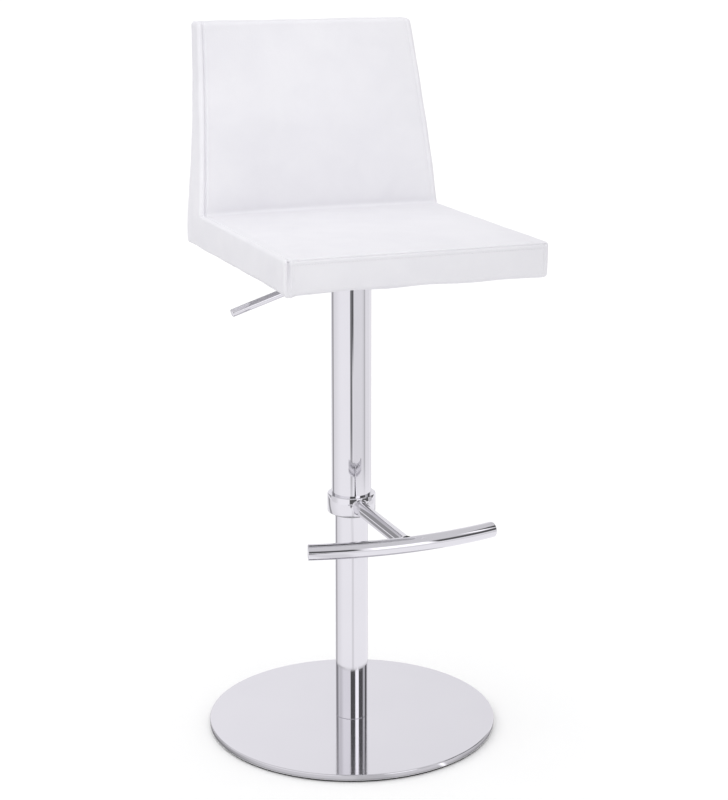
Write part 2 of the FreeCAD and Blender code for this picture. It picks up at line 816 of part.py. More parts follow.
def seat_board():
    """The plywood board under the seat's padding."""
    board = padding().common(below(board_top())).cut(behind_board_front())
    holes = []
    for x, y in plate_bolt_places():
        holes.append(Part.makeCylinder(plate_bolt_diameter / 2 + seat_fit + tee_nut_wall + seat_fit,
                                       seat_board_thickness, point(x, y, board_top()), -UP))
        holes.append(Part.makeCylinder(tee_nut_flange_diameter / 2 + seat_fit,
                                       tee_nut_flange_height, point(x, y, board_top()), -UP))
    return cut_all(board, holes + bracket_screw_holes())


def plate_bolt_places():
    """The x and y of the four bolts that hold the mounting plate to the seat board."""
    half = mounting_plate_size / 2 - plate_bolt_inset
    return [(x, y) for x in (-half, half) for y in (-half, half)]


def tee_nuts():
    """The four tee nuts let into the top of the seat board."""
    nuts = []
    for x, y in plate_bolt_places():
        top = point(x, y, board_top())
        flange = Part.makeCylinder(tee_nut_flange_diameter / 2, tee_nut_flange_height, top, -UP)
        bore = plate_bolt_diameter / 2 + seat_fit
        barrel = Part.makeCylinder(bore + tee_nut_wall, tee_nut_barrel_length, top, -UP)
        thread = Part.makeCylinder(bore, tee_nut_barrel_length, top, -UP)
        nuts.append(flange.fuse(barrel).cut(thread).removeSplitter())
    return Part.makeCompound(nuts)


def plate_bolts():
    """The four bolts, up through the mounting plate into the tee nuts."""
    tip = board_top() - plate_bolt_tip_depth
    bolts = []
    for x, y in plate_bolt_places():
        head_bottom = point(x, y, hub_top - plate_bolt_head_height)
        head = Part.makeCylinder(plate_bolt_head_diameter / 2, plate_bolt_head_height, head_bottom, UP)
        shank = Part.makeCylinder(plate_bolt_diameter / 2, tip - hub_top, point(x, y, hub_top), UP)
        socket = Part.makeCylinder(socket_radius(plate_bolt_diameter), socket_depth, head_bottom, UP)
        bolts.append(head.fuse(shank).cut(socket).removeSplitter())
    return Part.makeCompound(bolts)


def bracket_places():
    """The x of each angle bracket in the corner between the two boards."""
    step = bracket_spacing / (bracket_count - 1)
    return [-bracket_spacing / 2 + step * i for i in range(bracket_count)]


def bracket_corner_y():
    """Where the back board's front face crosses the top of the seat board."""
    return rear_y(board_top(), leather_thickness + back_board_thickness)


def bracket_profile(x, grow):
    """One angle bracket: a foot on the seat board and a leg up the back board."""
    z = board_top()
    y = bracket_corner_y()
    leg_top = z + bracket_rise
    ahead = leather_thickness + back_board_thickness
    thick = bracket_thickness
    corners = [(y, z), (y - bracket_leg, z), (y - bracket_leg, z + thick),
               (rear_y(z + thick, ahead + thick), z + thick), (rear_y(leg_top, ahead + thick), leg_top),
               (rear_y(leg_top, ahead), leg_top)]
    points = [point(x - bracket_width / 2 - grow, py, pz) for py, pz in corners]
    face = Part.Face(Part.makePolygon(points + points[:1]))
    return face.extrude(point(bracket_width + 2 * grow, 0, 0))


def bracket_screw_places():
    """The foot screws of the brackets, as points on the bracket's upper face."""
    y = bracket_corner_y() - bracket_leg * bracket_foot_share
    z = board_top() + bracket_thickness
    return [point(x + side * bracket_width / 4, y, z) for x in bracket_places() for side in (-1, 1)]


def bracket_screw_holes():
    """The holes for the brackets' foot screws."""
    depth = bracket_thickness + bracket_screw_length + bracket_hole_room
    return [Part.makeCylinder(bracket_screw_diameter / 2 + seat_fit, depth, place, -UP)
            for place in bracket_screw_places()]


def back_brackets():
    """The two steel angles that tie the back board to the seat board."""
    return Part.makeCompound([cut_all(bracket_profile(x, 0), bracket_screw_holes())
                              for x in bracket_places()])


def bracket_screws():
    """The wood screws through the brackets' feet."""
    screws = []
    for place in bracket_screw_places():
        head = Part.makeCylinder(bracket_screw_head_diameter / 2, bracket_screw_head_height, place, UP)
        shank = Part.makeCylinder(bracket_screw_diameter / 2,
                                  bracket_thickness + bracket_screw_length, place, -UP)
        screws.append(head.fuse(shank).removeSplitter())
    return Part.makeCompound(screws)


def bracket_pockets():
    """The room that the padding leaves round the brackets."""
    half = bracket_width / 2 + loose_fit
    y, z = bracket_corner_y(), board_top()
    tall = bracket_rise + loose_fit
    return [box(x - half, x + half, y - bracket_leg - loose_fit, y + bracket_thickness, z, z + tall)
            for x in bracket_places()]


def seat_padding():
    """The foam block on the seat board."""
    level = seat_height - leather_thickness
    block = padding().common(below(level)).cut(below(board_top())).cut(back_board())
    return largest_solid(cut_all(block, bracket_pockets()))


def back_padding():
    """The foam over the front, top and sides of the back board."""
    level = seat_height - leather_thickness
    block = padding().cut(below(level)).cut(back_board())
    return largest_solid(block)


PIECES = {
    "base_plate": base_plate,
    "floor_pad": floor_pad,
    "tube_foot": tube_foot,
    "base_screws": base_screws,
    "lower_tube": lower_tube,
    "cylinder_guide": cylinder_guide,
    "thrust_race_lower": lambda: thrust_race(race_bottom, loose_fit),
    "thrust_race_upper": lambda: thrust_race(race_top - race_thickness, seat_fit),
    "thrust_balls": thrust_balls,
    "ball_cage": ball_cage,
    "piston_rod": piston_rod,
    "piston": piston,
    "piston_ring": piston_ring,
    "bump_stop": bump_stop,
    "rod_clip": rod_clip,
    "gas_cylinder": gas_cylinder,
    "rod_guide": rod_guide,
    "rod_seal": rod_seal,
    "upper_tube": upper_tube,
    "column_bush": column_bush,
    "taper_hub": taper_hub,
    "hub_set_screws": hub_set_screws,
    "mounting_plate": mounting_plate,
    "plate_spacer": plate_spacer,
    "plate_bolts": plate_bolts,
    "tee_nuts": tee_nuts,
    "height_lever": height_lever,
    "lever_pin": lever_pin,
    "valve_pin": valve_pin,
    "footrest_collar": footrest_collar,
    "collar_set_screws": collar_set_screws,
    "footrest_strut": footrest_strut,
    "footrest_bar": footrest_bar,
    "bar_end_plugs": bar_end_plugs,
    "seat_board": seat_board,
    "back_board": back_board,
    "back_brackets": back_brackets,
    "bracket_screws": bracket_screws,
    "seat_padding": seat_padding,
    "back_padding": back_padding,
    "side_panel_right": lambda: side_panel(-1),
    "side_panel_left": lambda: side_panel(1),
    "centre_panel": centre_panel,
    "dust_cover": dust_cover,
}

os.makedirs("parts", exist_ok=True)
for name, make in PIECES.items():
    shape = make()
    shape.exportStep(f"parts/{name}.step")
    print(f"{name:20s} solids {len(shape.Solids):2d}  volume {shape.Volume / 1000:10.2f} cm3"
          f"  valid {shape.isValid()}")
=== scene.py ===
import math
import bmesh
import bpy
import numpy as np
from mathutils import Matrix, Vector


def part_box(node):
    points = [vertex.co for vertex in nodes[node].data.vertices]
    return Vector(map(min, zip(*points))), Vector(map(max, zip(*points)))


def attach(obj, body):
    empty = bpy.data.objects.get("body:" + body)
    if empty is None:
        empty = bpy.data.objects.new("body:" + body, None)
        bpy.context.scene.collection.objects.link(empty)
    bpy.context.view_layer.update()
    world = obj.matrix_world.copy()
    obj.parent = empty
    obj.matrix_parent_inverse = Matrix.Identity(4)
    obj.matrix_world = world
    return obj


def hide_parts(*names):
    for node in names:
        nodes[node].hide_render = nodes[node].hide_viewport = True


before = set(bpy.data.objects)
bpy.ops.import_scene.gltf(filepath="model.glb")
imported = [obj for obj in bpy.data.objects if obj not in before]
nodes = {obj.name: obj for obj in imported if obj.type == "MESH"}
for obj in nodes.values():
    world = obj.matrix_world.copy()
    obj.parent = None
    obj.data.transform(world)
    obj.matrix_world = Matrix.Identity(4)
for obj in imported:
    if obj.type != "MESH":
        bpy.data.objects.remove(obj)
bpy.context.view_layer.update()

# ---- studio -------------------------------------------------------------------------------------
# A white sweep with soft lamps. Chrome sees the rest of the room, a glowing surround that only
# reflections see, so what it shows is painted reflection: a pale floor with darker lanes and a painted
# shadow round the base plate, pale walls with black flags before them, a grey ceiling, and painted glints.
scene = bpy.context.scene
scene.view_settings.view_transform = "Standard"
lens_heading = math.radians(21.19)
lens_pitch = math.radians(14.47)

camera = bpy.data.objects.new("camera", bpy.data.cameras.new("camera"))
camera.location = (-0.9710, -2.5575, 1.2239)
camera.rotation_euler = (math.pi / 2 - lens_pitch, 0, -lens_heading)
camera.data.sensor_width = 36.0
camera.data.lens = 84.8
scene.collection.objects.link(camera)
scene.camera = camera

world = bpy.data.worlds.new("white_room")
world.use_nodes = True
world.node_tree.nodes["Background"].inputs["Color"].default_value = (1.0, 1.0, 1.0, 1)
world.node_tree.nodes["Background"].inputs["Strength"].default_value = 0.755
scene.world = world


class Shade:
    """One output socket of a material: sums, products and the like of shades add Math nodes."""

    def __init__(self, tree, socket=None):
        self.tree = tree
        self.socket = socket

    def plug(self, value, socket):
        """Links a shade to a socket, or sets the socket's own value."""
        if isinstance(value, Shade):
            self.tree.links.new(value.socket, socket)
        else:
            socket.default_value = value

    def node(self, kind, output=0, settings=None, **sockets):
        """A new node and one of its outputs: its settings are set first, and then its sockets.

        A socket's keyword is its name with _ for a space, or in_ and its number."""
        made = self.tree.nodes.new(kind)
        for name, value in (settings or {}).items():
            setattr(made, name, value)
        for name, value in sockets.items():
            key = int(name[3:]) if name.startswith("in_") else name.replace("_", " ")
            self.plug(value, made.inputs[key])
        return Shade(self.tree, made.outputs[output])

    def place(self):
        """Every point's own place on its piece, in metres."""
        return self.node("ShaderNodeTexCoord", "Object")

    def stretched(self, scale, **sockets):
        """This place with its axes scaled: textures grow longest along the least scaled one."""
        return self.node("ShaderNodeMapping", Vector=self, Scale=scale, **sockets)

    def noise(self, scale, **sockets):
        """Cloudy noise of that scale over this place."""
        return self.node("ShaderNodeTexNoise", Vector=self, Scale=scale, **sockets)

    def cells(self, scale):
        """The distance to the nearest of some scattered points, that many of them to a metre."""
        return self.node("ShaderNodeTexVoronoi", Vector=self, Scale=scale)

    def bump(self, strength, distance):
        """The normals of a surface that this shade raises by up to that distance."""
        return self.node("ShaderNodeBump", Strength=strength, Distance=distance, Height=self)

    def math(self, operation, *values):
        """One Math node on those values."""
        numbered = {f"in_{i}": value for i, value in enumerate(values)}
        return self.node("ShaderNodeMath", settings={"operation": operation}, **numbered)

    def __add__(self, other):
        return self.math("ADD", self, other)

    __radd__ = __add__

    def __sub__(self, other):
        return self.math("SUBTRACT", self, other)

    def __rsub__(self, other):
        return self.math("SUBTRACT", other, self)

    def __mul__(self, other):
        return self.math("MULTIPLY", self, other)

    __rmul__ = __mul__

    def __truediv__(self, other):
        return self.math("DIVIDE", self, other)

    def between(self, low, high, soft):
        """1 where this shade lies from low to high, 0 outside, with soft borders that wide."""
        rise = self.ramp(low - soft / 2, low + soft / 2)
        fall = self.ramp(high - soft / 2, high + soft / 2)
        return rise * (1 - fall)

    def ramp(self, start, end):
        """0 below start, 1 above end, and an S-shaped rise between them."""
        return self.node("ShaderNodeMapRange", settings={"interpolation_type": "SMOOTHSTEP"},
                         Value=self, From_Min=start, From_Max=end)

    def colours(self, low, high):
        """The colour low where this shade is 0, and high where it is 1."""
        return self.node("ShaderNodeMix", 2, {"data_type": "RGBA"}, in_0=self,
                         in_6=(*low, 1), in_7=(*high, 1))


def finish_of(name, sockets):
    """A material whose Principled shader gets the sockets that sockets(root) returns."""
    material = bpy.data.materials.new(name)
    material.use_nodes = True
    root = Shade(material.node_tree)
    shader = material.node_tree.nodes["Principled BSDF"]
    for socket_name, value in sockets(root).items():
        root.plug(value, shader.inputs[socket_name])
    return material


def surface(name, points, faces, material):
    """A smooth mesh piece from arrays of points and quads, with its doubles merged."""
    mesh = bpy.data.meshes.new(name)
    corners = np.round(points.reshape(-1, 3)[faces], 7).reshape(-1, 3)
    merged, index = np.unique(corners, axis=0, return_inverse=True)
    quads = index.reshape(-1, 4)
    neighbours_differ = quads != np.roll(quads, 1, axis=1)
    whole = quads[neighbours_differ.all(axis=1)]
    split = quads[~neighbours_differ.all(axis=1)]
    keep = neighbours_differ[~neighbours_differ.all(axis=1)]
    thin = [row[mask].tolist() for row, mask in zip(split, keep) if mask.sum() > 2]
    mesh.from_pydata(merged.tolist(), [], whole.tolist() + thin)
    mesh.polygons.foreach_set("use_smooth", np.ones(len(mesh.polygons), bool))
    mesh.materials.append(material)
    mesh.update()
    piece = bpy.data.objects.new(name, mesh)
    scene.collection.objects.link(piece)
    return piece


def grid_quads(rows, columns, wrap_columns=False):
    """The quads between neighbours on a rows by columns grid that is numbered row by row."""
    row = np.arange(rows - 1)[:, None] * columns
    j = np.arange(columns if wrap_columns else columns - 1)[None, :]
    j_next = (j + 1) % columns
    corners = [row + j, row + j_next, row + columns + j_next, row + columns + j]
    return np.stack(corners, axis=-1).reshape(-1, 4)


def turned(name, profile, material, segments=160):
    """A turned piece: each (radius, height) of the profile goes round the column's axis, as
    x = radius cos a, y = radius sin a, z = height."""
    a = np.linspace(0, 2 * math.pi, segments, endpoint=False)
    radius, height = np.asarray(profile).T
    points = np.stack([np.outer(radius, np.cos(a)), np.outer(radius, np.sin(a)),
                       np.outer(height, np.ones(segments))], axis=-1)
    return surface(name, points, grid_quads(len(radius), segments, wrap_columns=True), material)


def unseen_by(piece, *rays):
    """Keeps a piece of the stage out of those kinds of ray."""
    for ray in rays:
        setattr(piece, "visible_" + ray, False)


def floor_paint(root):
    """Matt white paper with the faintest mottling."""
    place = root.place()
    mottle = place.noise(3.0, Detail=2.0)
    return {"Base Color": mottle.colours((0.985, 0.985, 0.986), (0.990, 0.990, 0.991)),
            "Roughness": 0.9, "Specular IOR Level": 0.0}


floor = turned("floor", [(reach, 0.0) for reach in (30.0, 8.0, 2.0, 0.5, 0.0)],
               finish_of("paper_sweep", floor_paint), 96)


def wall_paint(root):
    """The white of the sweep where it rises out of sight, as evenly lit as the floor before it."""
    place = root.place()
    mottle = place.noise(0.05)
    return {"Base Color": (0, 0, 0, 1), "Specular IOR Level": 0.0, "Emission Strength": 1.0,
            "Emission Color": mottle.colours((1.0, 1.0, 1.0), (1.03, 1.03, 1.03))}


sweep_wall = turned("sweep_wall", [(29.0, -0.5), (29.0, 20.0)], finish_of("sweep_wall", wall_paint), 96)
unseen_by(sweep_wall, "diffuse", "glossy", "transmission", "volume_scatter", "shadow")


def painted_reflection_room(root):
    """What polished metal sees of the room, which glows with painted reflections and lights nothing else:
    az is the angle in degrees from the lens, to its right, up the angle above the floor, and distance how
    far out from the column."""
    place = root.place()
    turned_to_lens = root.node("ShaderNodeVectorRotate", settings={"rotation_type": "Z_AXIS"},
                               Vector=place, Angle=math.pi / 2 + lens_heading)
    x, y, z = (root.node("ShaderNodeSeparateXYZ", i, Vector=turned_to_lens) for i in range(3))
    az = root.math("ARCTAN2", y, x) * (180 / math.pi)
    distance = root.math("SQRT", x * x + y * y)
    up = root.math("ARCTAN2", z, distance) * (180 / math.pi)
    walls = z.ramp(0.02, 0.09)
    ceiling = up.ramp(26, 31)
    left_dip = az.between(-138, -120, 10) * 0.5 + az.between(-200, -85, 60) * 0.14
    right_grey = az.between(10, 88, 10) * 0.15 + az.between(70, 132, 20) * 0.10
    right_line = az.between(78, 86, 5) * 0.2
    gap = az.between(-5, 7, 5) * distance.ramp(0.8, 1.9) * 0.8 \
        + az.between(6, 14, 4) * distance.ramp(2.2, 3.0) * 0.75 \
        + az.between(2, 16, 6) * (1 - distance.ramp(0.8, 1.2)) * 0.18
    right_edge = az.between(150, 178, 6) * 0.25
    ground = 1 - left_dip - right_edge - (right_grey + right_line) * distance.ramp(1.1, 1.5) - gap
    past_rim = distance.ramp(0.240, 0.255)
    # Painted highlight and shade beside the rim: a bright glint at one angle, darker to the left and
    # right.
    painted_rim_glint_and_shade = az.between(38, 40, 2.5) * 0.8 - az.between(-110, -45, 25) * 0.22 \
        - az.between(48, 110, 8) * 0.12
    # Painted shadow: the reflected floor is darker close round the plate's rim, where the plate would
    # shade it.
    painted_shadow_round_plate = 0.40 + distance.ramp(0.2215, 0.229) * 0.30 + past_rim * 0.30
    ground = root.math("MAXIMUM", ground, 0.08) * (painted_shadow_round_plate + painted_rim_glint_and_shade * (1 - past_rim))
    flags = az.between(-8, 25, 5) + az.between(52, 88, 3) + az.between(110, 136, 4) \
        + az.between(-150, -112, 16) * 0.75
    sides = 1.04 + az.between(29, 50, 3) * 0.4 - az.between(-112, -70, 30) * 0.25 \
        - az.between(90, 110, 4) * 0.45 \
        - root.math("ABSOLUTE", az).ramp(140, 165) * (0.09 + (y / distance).ramp(-0.15, 0.15) * 0.07)
    wall = root.math("MAXIMUM", sides - flags * up.ramp(4, 7) * 0.93, 0.06)
    # Painted reflection: a dark patch and a bright spot in the ceiling give the footrest bar's dark tip
    # and its glint.
    above = 0.72 - az.between(84, 150, 4) * up.between(24, 49, 4) * 0.62 \
        + az.between(73, 82, 4) * up.between(26, 44, 4) * 0.6
    shade = ground * (1 - walls) + (wall * (1 - ceiling) + above * ceiling) * walls
    glow = shade.node("ShaderNodeVectorMath", settings={"operation": "SCALE"},
                      in_0=(1.0, 0.99, 1.03), Scale=shade)
    return {"Base Color": (0, 0, 0, 1), "Specular IOR Level": 0.0, "Emission Color": glow,
            "Emission Strength": 1.0}


room_reach, room_floor, room_hole = 8.0, 0.0035, 0.2225
room_turn = np.radians(np.linspace(0, 90, 25))[1:]
room_profile = [(reach, room_floor) for reach in (room_hole, 1.5, 3.0, room_reach)]
room_profile += list(zip(room_reach * np.cos(room_turn), room_reach * np.sin(room_turn)))
# The surround glows and only reflections see it: what chrome mirrors of it is painted reflection.
room = turned("painted_reflection_room", room_profile, finish_of("painted_reflection_room", painted_reflection_room), 96)
unseen_by(room, "camera", "diffuse", "transmission", "volume_scatter", "shadow")


def lamp(name, kind, location, degrees, **settings):
    """A lamp turned by those degrees. It lights the matt surfaces, and chrome doesn't mirror it."""
    made = bpy.data.objects.new(name, bpy.data.lights.new(name, kind))
    for setting, value in settings.items():
        setattr(made.data, setting, value)
    made.location = location
    made.rotation_euler = [math.radians(turn) for turn in degrees]
    made.visible_glossy = False
    scene.collection.objects.link(made)


lamp("soft_ceiling", "SUN", (0, 0, 0), (0, -15, 0), energy=1.10, angle=math.radians(100))
lamp("front_spot", "SPOT", (-0.45, -0.85, 1.60), (55.0, 0, -23.1), energy=52,
     spot_size=math.radians(23), spot_blend=1.0, shadow_soft_size=0.35)


# ---- floor pad ----------------------------------------------------------------------------------
# A thin disc of black closed-cell rubber glued under the base plate, a little smaller than it,
# that keeps the steel off the floor.
def rounded(corners, steps=6):
    """A closed profile with its corners rounded: each corner is (across, up, radius), and its arc
    touches both sides at radius / tan(half the angle between them)."""
    outline = []
    for i, (across, up, radius) in enumerate(corners):
        corner = np.array([across, up])
        if radius == 0:
            outline.append(corner[None, :])
            continue
        before = np.array(corners[i - 1][:2]) - corner
        after = np.array(corners[(i + 1) % len(corners)][:2]) - corner
        before, after = before / np.linalg.norm(before), after / np.linalg.norm(after)
        half = math.acos(max(-1.0, min(1.0, before @ after))) / 2
        touch = radius / math.tan(half)
        first, last = corner + before * touch, corner + after * touch
        middle = corner + (before + after) / np.linalg.norm(before + after) * radius / math.sin(half)
        sweep = np.linspace(0, 1, steps)[:, None]
        arc = first * (1 - sweep) + last * sweep - middle
        arc = middle + arc / np.linalg.norm(arc, axis=1)[:, None] * radius
        outline += [first[None, :] + before * radius * 0.3, arc, last[None, :] + after * radius * 0.3]
    return np.concatenate(outline + [outline[0][:1]])


def rubber(root):
    """Black foam rubber: a fine open skin and a dusty bloom."""
    place = root.place()
    cells = place.cells(900.0)
    bloom = place.noise(40.0, Detail=4.0)
    bump = cells.bump(0.3, 0.0004)
    return {"Base Color": bloom.colours((0.012, 0.012, 0.013), (0.035, 0.035, 0.036)),
            "Roughness": 0.8 + bloom * 0.15, "Normal": bump}


def box_of(node):
    """A node's lowest and highest corners at rest, as arrays."""
    low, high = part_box(node)
    return np.array(low), np.array(high)


pad_round = 0.0006
pad_low, pad_high = box_of("floor_pad")
pad_reach = pad_high[0]
pad = turned("rubber_pad",
             rounded([(0, pad_low[2], 0), (pad_reach, pad_low[2], pad_round),
                      (pad_reach, pad_high[2], pad_round), (0, pad_high[2], 0)]),
             finish_of("black_rubber", rubber))
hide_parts("floor_pad")
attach(pad, "base")


# ---- base plate ---------------------------------------------------------------------------------
# A heavy disc of rolled steel, turned to a softly rounded rim, polished in one direction and
# chromed. It stands on the pad and is screwed to the column's foot from below.
chrome_light = (0.80, 0.793, 0.815)
chrome_dim = (0.765, 0.757, 0.785)


def plate_chrome(root):
    """Chrome over a polished disc: faint straight polishing lines, soft clouds in the shine and
    a few fine scratches."""
    place = root.place()
    drawn_out = place.stretched((6.0, 900.0, 6.0))
    lines = drawn_out.noise(1.0, Detail=3.0)
    clouds = place.noise(9.0, Detail=3.0)
    bent = place.stretched((3.0, 160.0, 3.0), Rotation=(0, 0, 0.6))
    scratch = bent.noise(2.0, Detail=5.0).ramp(0.70, 0.74)
    bump = (lines + scratch * 0.6).bump(0.06, 0.0002)
    return {"Base Color": clouds.colours(chrome_dim, chrome_light), "Metallic": 1.0,
            "Roughness": 0.045 + clouds * 0.03 + lines * 0.02 + scratch * 0.05, "Normal": bump}


plate_round_below, plate_round_above = 0.0012, 0.0016
plate_low, plate_high = box_of("base_plate")
plate_reach = plate_high[0]
plate = turned("round_base_plate",
               rounded([(0, plate_low[2], 0), (plate_reach, plate_low[2], plate_round_below),
                        (plate_reach, plate_high[2], plate_round_above), (0, plate_high[2], 0)], 7),
               finish_of("plate_chrome", plate_chrome), 256)
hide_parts("base_plate")
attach(plate, "base")


# ---- column tubes -------------------------------------------------------------------------------
# Two drawn steel tubes, polished lengthwise and chromed: the lower one is welded to the base's
# foot, and the wider upper one hangs from the seat's hub and slides down over it.
def tube_chrome(root):
    """Chrome on a drawn tube: clouds stretched along the tube, faint rub marks and pinpoint dust."""
    place = root.place()
    drawn_out = place.stretched((60.0, 60.0, 3.0))
    drawn = drawn_out.noise(1.0, Detail=3.0)
    clouds = place.noise(14.0, Detail=2.0)
    dust = place.cells(260.0)
    specks = 1 - dust.ramp(0.03, 0.06)
    rings = place.stretched((8.0, 8.0, 700.0))
    marks = rings.noise(1.0, Detail=4.0).ramp(0.62, 0.72)
    bump = (drawn + marks * 0.3).bump(0.05, 0.0002)
    return {"Base Color": clouds.colours(chrome_dim, chrome_light), "Metallic": 1.0,
            "Roughness": 0.04 + drawn * 0.02 + marks * 0.03 + specks * 0.2, "Normal": bump}


bright_chrome = finish_of("tube_chrome", tube_chrome)


def column_tube(name, node, wall, lip):
    """A tube the size of a node, that wall thick, with rounded lips at both ends."""
    low, high = box_of(node)
    outer = high[0]
    tube = turned(name, rounded([(outer - wall, low[2], lip), (outer, low[2], lip),
                                 (outer, high[2], lip), (outer - wall, high[2], lip)]),
                  bright_chrome, 192)
    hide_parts(node)
    return tube


tube_wall, tube_lip = 0.002, 0.0007
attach(column_tube("lower_column_tube", "lower_tube", tube_wall, tube_lip), "base")
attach(column_tube("upper_column_tube", "upper_tube", tube_wall, tube_lip), "seat_unit")


# ---- footrest collar ----------------------------------------------------------------------------
# A thick turned and chromed steel ring round the upper tube's mouth. Two set screws at the back
# hold it, and the footrest is welded into it.
def finished_copy(name, node, material, sharp_deg=35):
    """A piece with a node's own shape: a copy of its mesh with the doubles merged, smooth but for
    edges sharper than that angle."""
    mesh = nodes[node].data.copy()
    mesh.name = name
    work = bmesh.new()
    work.from_mesh(mesh)
    bmesh.ops.remove_doubles(work, verts=work.verts, dist=1e-6)
    work.to_mesh(mesh)
    work.free()
    mesh.materials.clear()
    mesh.materials.append(material)
    mesh.polygons.foreach_set("use_smooth", np.ones(len(mesh.polygons), bool))
    mesh.set_sharp_from_angle(angle=math.radians(sharp_deg))
    piece = bpy.data.objects.new(name, mesh)
    scene.collection.objects.link(piece)
    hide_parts(node)
    return piece


collar = finished_copy("chrome_collar", "footrest_collar", bright_chrome)
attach(collar, "seat_unit")


# ---- footrest -----------------------------------------------------------------------------------
# A straight chromed tube welded between the collar and a second tube, bent to a shallow bow, that
# the feet rest on. A chromed plug closes each end of the bow.
collar_radius = box_of("footrest_collar")[1][0]
strut_radius = box_of("footrest_strut")[1][0]
bar_low, bar_high = box_of("footrest_bar")
rest_level = (bar_low[2] + bar_high[2]) / 2
bar_radius = (bar_high[2] - bar_low[2]) / 2
bar_wall, bar_lip = 0.002, 0.0008
bow_front = bar_low[1] + bar_radius
bow_half_span = 0.1415
bow_depth = 0.020
bow_radius = (bow_half_span ** 2 + bow_depth ** 2) / (2 * bow_depth)
bow_half_angle = math.asin(bow_half_span / bow_radius)


def along_bow(name, profile, material, segments=48):
    """A piece carried along the footrest's bow: each (radius, way) of the profile is a ring of that
    radius round the bow's centreline, that way along it from its middle."""
    a = np.linspace(0, 2 * math.pi, segments, endpoint=False)
    radius, way = np.asarray(profile).T
    turn = (way / bow_radius)[:, None]
    from_centre = bow_radius + np.outer(radius, np.cos(a))
    points = np.stack([from_centre * np.sin(turn), bow_front + bow_radius - from_centre * np.cos(turn),
                       rest_level + np.outer(radius, np.sin(a))], axis=-1)
    return surface(name, points, grid_quads(len(radius), segments, wrap_columns=True)[:, ::-1], material)


def stations(profile, spacing):
    """The profile with more points, so that none of its sides is longer than the spacing."""
    profile = np.asarray(profile)
    length = np.linalg.norm(np.diff(profile, axis=0), axis=1)
    travelled = np.concatenate([[0], np.cumsum(length)])
    extra = [np.linspace(start, end, max(2, int(math.ceil((end - start) / spacing)) + 1))
             for start, end in zip(travelled[:-1], travelled[1:]) if end > start]
    places = np.unique(np.concatenate(extra))
    return np.stack([np.interp(places, travelled, profile[:, 0]),
                     np.interp(places, travelled, profile[:, 1])], axis=-1)


half_bow = bow_half_angle * bow_radius
bar_profile = rounded([(bar_radius - bar_wall, -half_bow, bar_lip), (bar_radius, -half_bow, bar_lip),
                       (bar_radius, half_bow, bar_lip), (bar_radius - bar_wall, half_bow, bar_lip)])
footrest = along_bow("bowed_footrest_bar", stations(bar_profile, 0.006), bright_chrome)
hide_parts("footrest_bar")
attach(footrest, "seat_unit")

plug_play, plug_depth, plug_sunk, plug_rise = 0.00005, 0.012, 0.0012, 0.0010
plug_radius = bar_radius - bar_wall - plug_play
plug_dome = np.linspace(math.pi / 2, 0, 9)
plug_top = np.stack([plug_radius * np.sin(plug_dome * 0.999 + 0.001),
                     half_bow - plug_sunk + plug_rise * np.cos(plug_dome)], axis=-1)
plug_inner = half_bow - plug_depth
plug_profile = np.concatenate([[(0.0001, plug_inner), (plug_radius, plug_inner)], plug_top])
plug_left = along_bow("bar_plug_left", plug_profile, bright_chrome)
plug_right = along_bow("bar_plug_right", plug_profile * (1, -1), bright_chrome)
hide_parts("bar_end_plugs")
for plug in (plug_left, plug_right):
    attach(plug, "seat_unit")


def strut_points(steps, segments, bead):
    """The strut's skin: each line along it runs from the collar's face to the bow's near face,
    which are y = -sqrt(R^2 - x^2) and y = bow_front + sqrt(r^2 - z^2), and both ends flare into
    a weld bead by bead * (1 - way / bead)^2, with way from the end."""
    a = np.linspace(0, 2 * math.pi, segments, endpoint=False)[None, :]
    share = np.linspace(0, 1, steps)[:, None]
    length = 0.18
    near_end, far_end = (np.maximum(1 - part * length / bead, 0) ** 2 for part in (share, 1 - share))
    ripple = 1 + 0.10 * np.sin(a * 19) * (share < 0.5) + 0.10 * np.sin(a * 17 + 1) * (share >= 0.5)
    radius = strut_radius + bead * (near_end + far_end) * ripple * 0.75
    x, z = radius * np.cos(a), radius * np.sin(a)
    collar_reach = collar_radius - 0.0004
    start = -np.sqrt(collar_reach ** 2 - np.minimum(np.abs(x), collar_reach * 0.98) ** 2)
    end = bow_front + np.sqrt(np.maximum(bar_radius ** 2 - z ** 2, (bar_radius * 0.25) ** 2)) - 0.0006
    y = start * (1 - share) + end * share
    return np.stack([x, y, z + rest_level], axis=-1)


strut_steps, strut_segments, weld_bead = 110, 72, 0.0026
strut = surface("footrest_strut_tube", strut_points(strut_steps, strut_segments, weld_bead),
                grid_quads(strut_steps, strut_segments, wrap_columns=True)[:, ::-1], bright_chrome)
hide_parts("footrest_strut")
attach(strut, "seat_unit")


# ---- height lever -------------------------------------------------------------------------------
# A straight chromed steel rod with a rounded tip. Its inner end lies on the gas spring's pin
# inside the hub, and it turns on a cross pin when its outer end is lifted.
lever_copy = finished_copy("height_lever_rod", "height_lever", bright_chrome)
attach(lever_copy, "lever")


# ---- hidden fittings ----------------------------------------------------------------------------
# The parts inside the base, column and hub keep their designed shapes: turned and rolled steel,
# zinc-plated screws, moulded plastic guides, a painted gas spring and rubber stops.
def worked_metal(name, dark, light, rough, stretch):
    """A finish of bare or plated metal: tool marks stretched by those scales along x, y and z,
    cloudy tarnish between two colours, and oily smears."""
    def sockets(root):
        place_on = root.place()
        drawn_out = place_on.stretched(stretch)
        marks = drawn_out.noise(1.0, Detail=4.0)
        tarnish = place_on.noise(55.0, Detail=5.0)
        smear = place_on.noise(16.0, Distortion=1.0)
        bump = marks.bump(0.12, 0.0003)
        return {"Base Color": tarnish.colours(dark, light), "Metallic": 1.0,
                "Roughness": rough + marks * 0.10 + smear * 0.10, "Normal": bump}
    return finish_of(name, sockets)


